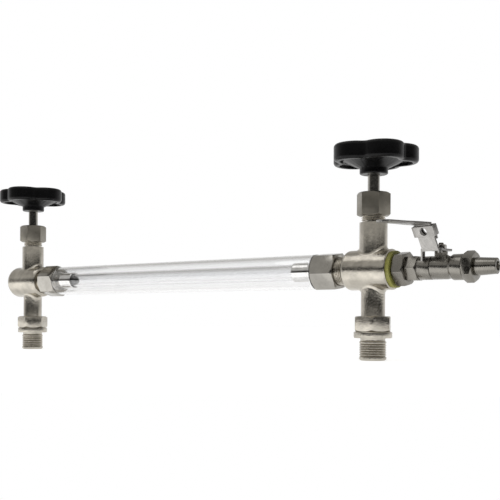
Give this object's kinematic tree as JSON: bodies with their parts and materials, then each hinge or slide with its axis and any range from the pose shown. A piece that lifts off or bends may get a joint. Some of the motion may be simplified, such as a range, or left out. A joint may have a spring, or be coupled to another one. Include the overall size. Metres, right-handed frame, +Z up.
{
  "type": "sight glass",
  "caption": "Tubular sight glass with two screw-down gauge cocks, black lobed handwheels, clear tube and a drain ball valve.",
  "frame": {"origin": "centre of the lower cock's sealing collar, on its underside", "axes": "+X along the tube towards the drain end, +Z up along the valve spindles, +Y away from the lever's side"},
  "size_m": [0.5301, 0.0995, 0.1642],
  "materials": {
    "cast_stainless": "blasted satin",
    "machined_stainless": "turned satin",
    "sheet_stainless": "pressed satin",
    "black_plastic": "fine satin",
    "clear_glass": "clear",
    "clear_tube": "clear",
    "seal_rubber": "matt",
    "white_seat": "waxy",
    "graphite": "braided",
    "green_fibre": "pressed fibre"
  },
  "bodies": {
    "root": {"gauge_glass": "clear_glass", "protection_tube": "clear_tube", "lower_cock_body": "cast_stainless", "lower_packing_rings": "graphite", "lower_packing_follower": "machined_stainless", "lower_gland_nut": "machined_stainless", "lower_tube_nut": "machined_stainless", "lower_tube_packing": "seal_rubber", "lower_tube_sleeve": "machined_stainless", "upper_cock_body": "cast_stainless", "upper_packing_rings": "graphite", "upper_packing_follower": "machined_stainless", "upper_gland_nut": "machined_stainless", "upper_tube_nut": "machined_stainless", "upper_tube_packing": "seal_rubber", "upper_tube_sleeve": "machined_stainless", "drain_gasket": "green_fibre", "drain_reducer": "machined_stainless", "ball_valve_insert": "machined_stainless", "ball_valve_body": "machined_stainless", "ball_seats": "white_seat", "stem_packing": "white_seat", "stem_gland": "machined_stainless", "drain_nozzle": "machined_stainless"},
    "lower_disc": {"lower_valve_disc": "machined_stainless"},
    "lower_wheel": {"lower_spindle": "machined_stainless", "lower_handwheel": "black_plastic", "lower_wheel_washer": "machined_stainless", "lower_wheel_nut": "machined_stainless"},
    "upper_disc": {"upper_valve_disc": "machined_stainless"},
    "upper_wheel": {"upper_spindle": "machined_stainless", "upper_handwheel": "black_plastic", "upper_wheel_washer": "machined_stainless", "upper_wheel_nut": "machined_stainless"},
    "lever": {"drain_lever": "sheet_stainless", "lever_nut": "machined_stainless", "ball_stem": "machined_stainless", "drain_ball": "machined_stainless"},
    "slider": {"lock_slider": "sheet_stainless"}
  },
  "joints": [
    {"name": "lower_lift", "type": "slide", "parent": "root", "child": "lower_disc", "axis": [0, 0, 1], "range_m": [-0.00001, 0.00601]},
    {"name": "lower_turn", "type": "hinge", "parent": "lower_disc", "child": "lower_wheel", "pos_m": [0, 0, 0.14], "axis": [0, 0, 1], "range_deg": [0, 1440]},
    {"name": "upper_lift", "type": "slide", "parent": "root", "child": "upper_disc", "axis": [0, 0, 1], "range_m": [-0.00001, 0.00601]},
    {"name": "upper_turn", "type": "hinge", "parent": "upper_disc", "child": "upper_wheel", "pos_m": [-0.4, 0, 0.14], "axis": [0, 0, 1], "range_deg": [0, 1440]},
    {"name": "drain_turn", "type": "hinge", "parent": "root", "child": "lever", "pos_m": [0.056, 0, 0.064], "axis": [0, 0, 1], "range_deg": [0, 90]},
    {"name": "lock_slide", "type": "slide", "parent": "lever", "child": "slider", "axis": [0.1008, 0.4585, -0.8829], "range_m": [0, 0.004]}
  ],
  "couplings": [
    {"joint": "lower_lift", "follows": "lower_turn", "m_per_rad": 0.00023873},
    {"joint": "upper_lift", "follows": "upper_turn", "m_per_rad": 0.00023873}
  ]
}
